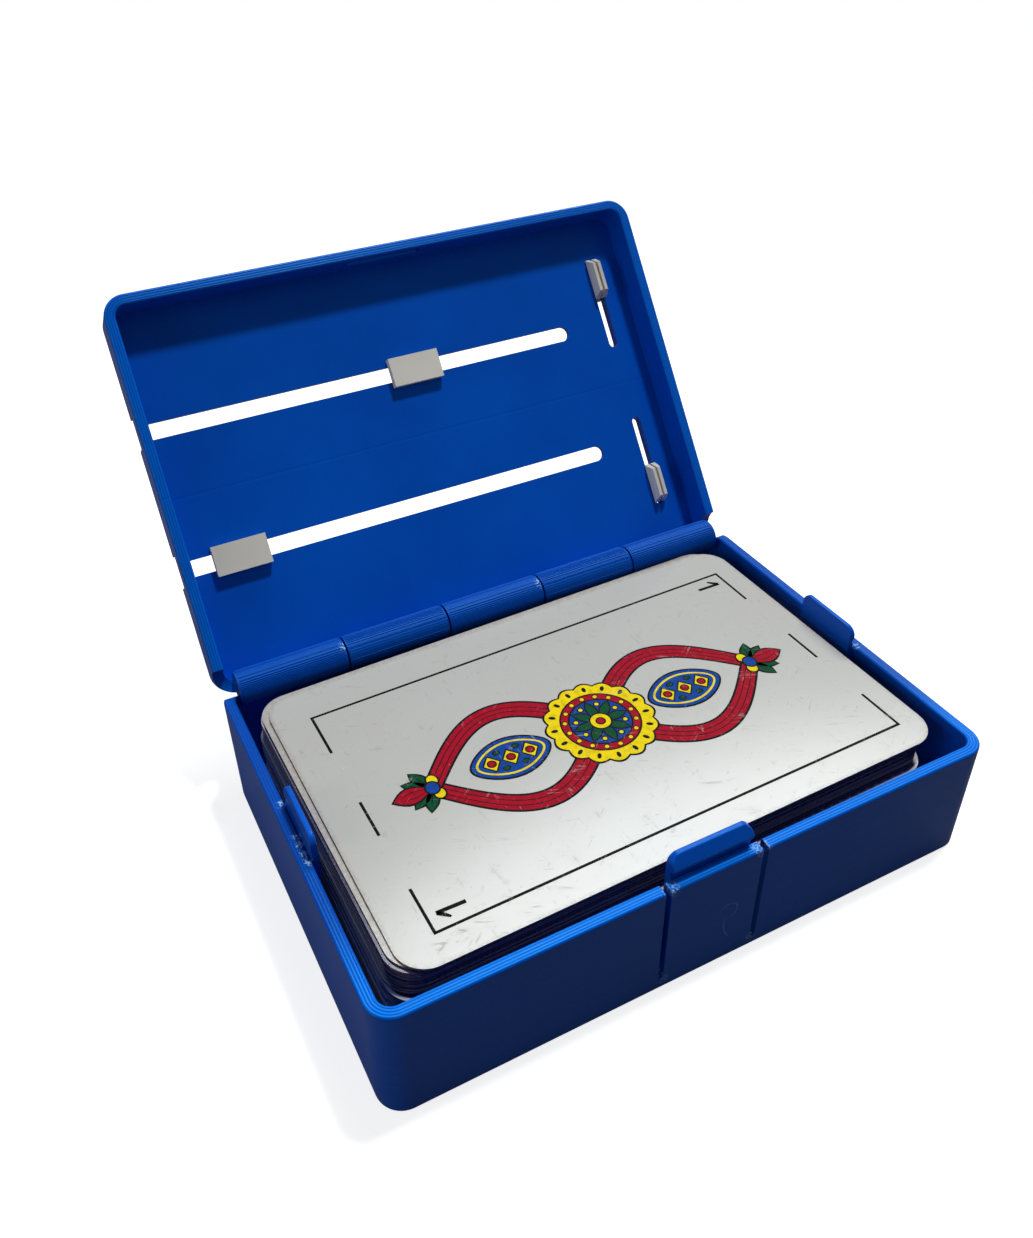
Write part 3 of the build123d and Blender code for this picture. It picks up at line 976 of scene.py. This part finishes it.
def cardMaterial(name, faceUp, place, values):
    fibre, gap, rougher = values["fibres"], values["gap"], values["rougher"]
    finish = Finish(name)
    spot = finish.place()
    x, y, z = finish.parts(spot)
    nx, ny, nz = finish.parts(finish.facing())
    up = nz.ramp(*values["facing"])
    down = (nz * -1).ramp(*values["facing"])
    fibres = finish.noise(finish.stretch(spot, values["fibreStretch"]), *values["fibreNoise"])
    level = (z - cards["floor"]) / cards["thickness"]
    # painted shade: a dark line between each card and the next on the deck's sides
    between = 1 - abs((level + 0.5).fraction() - 0.5).ramp(*gap["width"])
    # sides facing the ends are brown; those facing front and back get painted shade with a painted blue
    # reflection
    side = finish.tint(abs(nx).ramp(*values["endOn"]), cards["sideShadeBlue"], cards["edge"])
    side = finish.tint(fibres.ramp(*fibre["shows"]) * fibre["share"], side, cards["edgeLight"])
    side = finish.tint(between * gap["share"], side, gap["colour"])
    white, marks = wornWhite(finish, spot, place, handling)
    dark = darkBack(finish, spot, place, handling)
    upper, under = (white, dark) if faceUp else (dark, white)
    colour = finish.tint(up, side, upper)
    colour = finish.tint(down, colour, under)
    rough = cards["roughness"] + (1 - up) * rougher["edge"]
    rough = rough + marks * rougher["scratch"] + fibres * rougher["fibre"]
    height = fibres * values["height"]["fibre"] - marks * values["height"]["scratch"]
    return finish.done(Base_Color=colour, Roughness=rough, Normal=finish.bump(height), IOR=values["ior"])


topCard = cardMaterial("handledCard", True, cards["topPlace"], board)
turnedCard = cardMaterial("turnedCard", False, cards["lowerPlace"], board)
for name in nodes:
    if name.startswith("card_"):
        dress(name, topCard if name in cards["faceUp"] else turnedCard)
print("cards dressed")

# the squared packets low in the deck, as single cards that lie a little out of line
packets = {
    "each": 6,
    "stray": 0.22,
    "turn": 0.006,
    "bevel": 0.07,
    "ease": 0.12,
    "gap": 0.03,
    "cornerSteps": 6,
}


def cardOutline(inset, steps):
    outline = []
    radius = cards["corner"]
    for quarter, (alongU, alongV) in enumerate(((1, 1), (-1, 1), (-1, -1), (1, -1))):
        middleU = alongU * (cards["length"] / 2 - radius)
        middleV = alongV * (cards["width"] / 2 - radius)
        for step in range(steps + 1):
            angle = math.pi / 2 * (quarter + step / steps)
            reach = radius - inset
            outline.append((middleU + reach * math.cos(angle), middleV + reach * math.sin(angle)))
    return outline


def oneCard(values):
    # a card with eased edges, its underside at nought
    thick = cards["thickness"] - values["gap"]
    bevel, ease = values["bevel"], values["ease"]
    rings = []
    for inset, height in ((bevel, 0.0), (0.0, ease), (0.0, thick - ease), (bevel, thick)):
        rings.append([(u, v, height) for u, v in cardOutline(inset, values["cornerSteps"])])
    return tube("oneCard", rings)


def stackPattern():
    pattern = Pattern("cardsInPacket", "Count", "Step", "Stray", "Turn", "Seed")
    seed = pattern.size("Seed")

    def strays(limit, series):
        values = {"Min": limit * -1, "Max": limit, "Seed": seed + series}
        return pattern.add("FunctionNodeRandomValue", {"data_type": "FLOAT"}, values, 1)

    stray = pattern.size("Stray")
    along, across, turned = 0, 50, 100  # seeds, far enough apart for every packet
    height = pattern.index() * pattern.size("Step")
    position = pattern.vector(strays(stray, along), strays(stray, across), height)
    pattern.end(pattern.points(position), pattern.spin(strays(pattern.size("Turn"), turned)))
    return pattern


def makePackets(values):
    pattern = stackPattern()
    shape = oneCard(values)
    names = sorted(name for name in nodes if name.startswith("card_packet"))
    for number, name in enumerate(names):
        low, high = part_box(name)
        middle = (low + high) / 2
        turn = ((high.y - low.y) / mm - cards["width"]) / (cards["length"] - 2 * cards["corner"])
        foot = Matrix.Translation((middle.x, middle.y, low.z))
        place = foot @ Matrix.Rotation(turn, 4, "Z") @ Matrix.Scale(mm, 4)
        sizes = {"Count": values["each"], "Step": cards["thickness"], "Seed": number}
        grown = pattern.grow(shape, turnedCard, Stray=values["stray"], Turn=values["turn"], **sizes)
        piece = gather(f"deckPacket{number + 1}", "deck", [(grown, place)], turnedCard)
        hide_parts(name)


makePackets(packets)
print("packets of cards laid")

# printed on the top card: a broken frame line, a plain 1 in two corners, and ribbons round a rosette
picture = {
    "height": 22.0,
    "sunk": -0.01,
    "middle": (0.97, -1.25),
    "half": (42.1, 24.3),
    "line": 0.48,
    "cornerRear": 9.4,
    "cornerFront": 8.4,
    "tickRear": 2.8,
    "tickFront": -4.8,
    "indexStroke": 0.66,
    "indexBar": ((-40.6, -21.4), (-36.0, -21.55)),
    "indexFlag": ((-40.5, -21.45), (-39.6, -22.2), (-38.9, -22.9)),
    "flagShares": (1.1, 1.0, 0.6),  # of the stroke
    "black": sRgb(10, 9, 12),
    "red": sRgb(164, 0, 34),
    "blue": sRgb(8, 66, 150),
    "yellow": sRgb(238, 212, 0),
    "green": sRgb(0, 74, 44),
    "outline": 0.4,
    "layer": 0.006,
    "cloudNoise": (0.9, 4.0, 0.65),
    "cloud": {"shows": (0.42, 0.72), "deeper": 0.72, "rougher": 0.10},
    "rubbed": 0.35,
    "roughness": 0.42,
    "sheen": 0.05,
}
ink = {colour: [] for colour in ("black", "red", "blue", "yellow", "green")}
cardX, cardY, cardTurn = cards["topPlace"]
pictureTurn = Matrix.Rotation(math.radians(cardTurn), 4, "Z") @ Matrix.Scale(mm, 4)
cardPlace = Matrix.Translation((cardX * mm, cardY * mm, picture["height"] * mm)) @ pictureTurn
framePlace = moved(cardPlace, *picture["middle"])


def inkMaterial(name, colour):
    # printed ink, rubbed thin along the same scratches as the card
    finish = Finish(name)
    spot = finish.place()
    marks = scratches(finish, spot, handling)
    cloudy = picture["cloud"]
    cloud = finish.noise(spot, *picture["cloudNoise"])
    deeper = tuple(value * cloudy["deeper"] for value in colour[:3]) + (1.0,)
    shade = finish.tint(cloud.ramp(*cloudy["shows"]), colour, deeper)
    shade = finish.tint(marks * picture["rubbed"], shade, cards["face"])
    rough = picture["roughness"] + cloud * cloudy["rougher"]
    return finish.done(Base_Color=shade, Roughness=rough, Specular_IOR_Level=picture["sheen"])


inks = {colour: inkMaterial(colour + "Ink", picture[colour]) for colour in ink}


def strip(middleLine, width):
    # the two sides of a band along a line of points; width is a number or a list with one for each point
    widths = width if isinstance(width, list) else [width] * len(middleLine)
    left = []
    right = []
    for here, (u, v) in enumerate(middleLine):
        before = Vector(middleLine[max(here - 1, 0)])
        after = Vector(middleLine[min(here + 1, len(middleLine) - 1)])
        along = (after - before).normalized()
        aside = Vector((-along.y, along.x)) * widths[here] / 2
        left.append((u + aside.x, v + aside.y))
        right.append((u - aside.x, v - aside.y))
    return left, right


def level(number):
    return picture["layer"] * (number + 1)


def printStrip(colour, middleLine, width, number, place):
    low, high = picture["sunk"], level(number)
    rings = []
    for one, other in zip(*strip(middleLine, width)):
        rings.append([(*one, low), (*one, high), (*other, high), (*other, low)])
    ink[colour].append((tube("strip", rings), place))


def ovalOutline(halfU, halfV, count=32, scallops=0, depth=0.0):
    outline = []
    for step in range(count):
        angle = math.tau * step / count
        swell = 1 + depth * abs(math.sin(angle * scallops / 2))
        outline.append((halfU * swell * math.cos(angle), halfV * swell * math.sin(angle)))
    return outline


def leafOutline(length, width, start=0.0, fullness=0.8, count=10):
    # a pointed leaf along U from a start
    upper = []
    for step in range(1, count):
        share = step / count
        upper.append((start + length * share, width / 2 * math.sin(math.pi * share ** fullness)))
    lower = [(u, -v) for u, v in upper]
    return [(start, 0.0), *lower, (start + length, 0.0), *reversed(upper)]


def lozengeOutline(halfU, halfV):
    return [(halfU, 0.0), (0.0, halfV), (-halfU, 0.0), (0.0, -halfV)]


def fieldOutline(halfU, halfV, count=36, waist=0.25):
    # an oval drawn in towards its two ends
    outline = []
    for step in range(count):
        angle = math.tau * step / count
        u = math.cos(angle)
        outline.append((halfU * u, halfV * math.sin(angle) * (1 - waist * u * u)))
    return outline


def ringPattern():
    pattern = Pattern("shapesInRing", "Count", "Radius", "Turn")
    angle = pattern.index() * math.tau / pattern.size("Count") + pattern.size("Turn")
    radius = pattern.size("Radius")
    position = pattern.vector(angle.cosine() * radius, angle.sine() * radius)
    pattern.end(pattern.points(position), pattern.spin(angle))
    return pattern


rings = ringPattern()
rows = rowPattern()
outlines = {"oval": ovalOutline, "leaf": leafOutline, "lozenge": lozengeOutline, "field": fieldOutline}


def printShapes(shapes, place, pattern=rings):
    # each shape's kind, colour, measures and level, and for a repeated one the sizes that its pattern takes
    for kind, colour, measures, number, *repeated in shapes:
        shape = prism(outlines[kind](*measures), picture["sunk"], level(number))
        if repeated:
            shape = pattern.grow(shape, inks[colour], **dict(zip(pattern.sizes, repeated)))
        ink[colour].append((shape, place))


def printFrame(values):
    halfU, halfV = values["half"]
    line = values["line"]
    edge = line / 2
    for side in (-1, 1):
        ends = [(-halfU - edge, side * halfV), (halfU + edge, side * halfV)]
        printStrip("black", ends, line, 0, framePlace)
        pieces = (
            (halfV, halfV - values["cornerRear"]),
            (values["tickRear"], values["tickFront"]),
            (values["cornerFront"] - halfV, -halfV),
        )
        for top, foot in pieces:
            printStrip("black", [(side * halfU, top), (side * halfU, foot)], line, 0, framePlace)


def printIndex(values, place):
    # a plain 1, its top towards -U
    stroke = values["indexStroke"]
    widths = [stroke * share for share in values["flagShares"]]
    printStrip("black", values["indexBar"], stroke, 0, place)
    printStrip("black", values["indexFlag"], widths, 0, place)


ribbon = {
    "reach": 31.0,
    "lifts": (10.6, -10.6),
    "steps": 72,
    "width": 3.3,
    "taper": 0.9,
    "lines": (0.5, -0.5),
    "lineWidth": 0.16,
    "levels": 3,
}


def ribbonLine(lift, values):
    reach, steps = values["reach"], values["steps"]
    along = [reach * (2 * step / steps - 1) for step in range(steps + 1)]
    return [(u, lift * math.sin(math.pi * u / reach)) for u in along]


def printRibbons(place, values):
    for order, lift in enumerate(values["lifts"]):
        line = ribbonLine(lift, values)
        number = order * values["levels"]
        widths = [values["width"] - values["taper"] * (abs(u) / values["reach"]) ** 2 for u, v in line]
        backing = [width + 2 * picture["outline"] for width in widths]
        printStrip("black", line, backing, number, place)
        printStrip("red", line, widths, number + 1, place)
        for off in values["lines"]:
            aside, other = strip(line, 2 * off)
            printStrip("black", aside, values["lineWidth"], number + 2, place)


# a blue leaf-shaped field with a yellow line inside and a row of lozenges
medallion = {
    "out": 17.0,
    "field": (
        ("field", "black", (7.3, 4.6), 6),
        ("field", "blue", (6.95, 4.25), 7),
        ("field", "yellow", (6.2, 3.6), 8),
        ("field", "blue", (5.8, 3.2), 9),
    ),
    "rowFrom": -3.5,
    "row": (
        ("lozenge", "black", (1.68, 2.0), 10, 3, 3.5),
        ("lozenge", "yellow", (1.36, 1.62), 11, 3, 3.5),
        ("oval", "black", (0.84, 0.84, 16), 12, 3, 3.5),
        ("oval", "red", (0.58, 0.58, 16), 13, 3, 3.5),
    ),
    "beadsFrom": -1.75,
    "beadsOff": (-1.9, 1.9),
    "beads": (
        ("oval", "black", (0.72, 0.55, 14), 10, 2, 3.5),
        ("oval", "green", (0.5, 0.35, 14), 11, 2, 3.5),
    ),
}


def printMedallion(place, side, values):
    field = moved(place, values["out"] * side)
    printShapes(values["field"], field)
    printShapes(values["row"], moved(field, values["rowFrom"]), rows)
    for off in values["beadsOff"]:
        printShapes(values["beads"], moved(field, values["beadsFrom"], off), rows)


rosette = (
    ("oval", "black", (9.0, 9.0, 128, 16, 0.085), 6),
    ("oval", "yellow", (8.65, 8.65, 128, 16, 0.085), 7),
    ("oval", "black", (0.62, 0.36, 14), 8, 16, 8.1, math.pi / 16),
    ("oval", "black", (6.9, 6.9, 48), 8),
    ("oval", "red", (6.6, 6.6, 48), 9),
    ("oval", "black", (0.52, 0.52, 12), 10, 16, 6.0, 0.0),
    ("oval", "yellow", (0.36, 0.36, 12), 11, 16, 6.0, 0.0),
    ("oval", "black", (5.45, 5.45, 40), 10),
    ("oval", "blue", (5.15, 5.15, 40), 11),
    ("leaf", "black", (4.1, 2.1, 1.2), 12, 8, 0.0, 0.0),
    ("leaf", "green", (3.6, 1.55, 1.35), 13, 8, 0.0, 0.0),
    ("oval", "black", (0.6, 0.6, 14), 12, 8, 4.15, math.pi / 8),
    ("oval", "yellow", (0.36, 0.36, 14), 13, 8, 4.15, math.pi / 8),
    ("oval", "black", (2.0, 2.0, 28), 14),
    ("oval", "yellow", (1.7, 1.7, 28), 15),
    ("oval", "black", (0.9, 0.9, 18), 16),
    ("oval", "red", (0.62, 0.62, 18), 17),
)

# green leaves and a red bud where the ribbons meet, opening towards +U
bud = {
    "leafTurns": (-64, 64, -34, 34),
    "leaf": (("leaf", "black", (5.6, 2.6, -0.4, 1.1), 6), ("leaf", "green", (5.0, 1.95, -0.1, 1.1), 7)),
    "vein": (((0.4, 0.0), (2.2, 0.0), (3.9, 0.0)), [0.14, 0.2, 0.06], 8),
    "petal": (("leaf", "black", (7.6, 3.9, -0.6, 1.25), 9), ("leaf", "red", (6.9, 3.2, -0.3, 1.25), 10)),
    "folds": (-0.55, 0.55),
    "fold": (((1.4, 0.6), (3.2, 1.3), (5.0, 0.8)), [0.1, 0.18, 0.08], 11),
    "cuffs": ((-0.6, -1.5), (-0.6, 1.5)),
    "cuff": (("oval", "black", (1.15, 1.35, 18), 12), ("oval", "yellow", (0.85, 1.05, 18), 13)),
    "knot": (("oval", "black", (1.35, 1.5, 20), 14), ("oval", "blue", (1.05, 1.2, 20), 15)),
}


def printBud(place, values):
    for angle in values["leafTurns"]:
        leaf = place @ Matrix.Rotation(math.radians(angle), 4, "Z")
        printShapes(values["leaf"], leaf)
        printStrip("black", *values["vein"], leaf)
    printShapes(values["petal"], place)
    points, widths, number = values["fold"]
    for off in values["folds"]:
        printStrip("black", [(u, off * share) for u, share in points], widths, number, place)
    for u, v in values["cuffs"]:
        printShapes(values["cuff"], moved(place, u, v))
    printShapes(values["knot"], place)


printFrame(picture)
printIndex(picture, framePlace)
printIndex(picture, framePlace @ Matrix.Rotation(math.pi, 4, "Z"))
printRibbons(framePlace, ribbon)
for side in (-1, 1):
    facingOut = framePlace if side > 0 else framePlace @ Matrix.Rotation(math.pi, 4, "Z")
    printMedallion(framePlace, side, medallion)
    printBud(moved(facingOut, ribbon["reach"]), bud)
printShapes(rosette, framePlace)
for colour, meshes in ink.items():
    gather("picture" + colour.capitalize(), "deck", meshes, inks[colour])
print("top card printed")
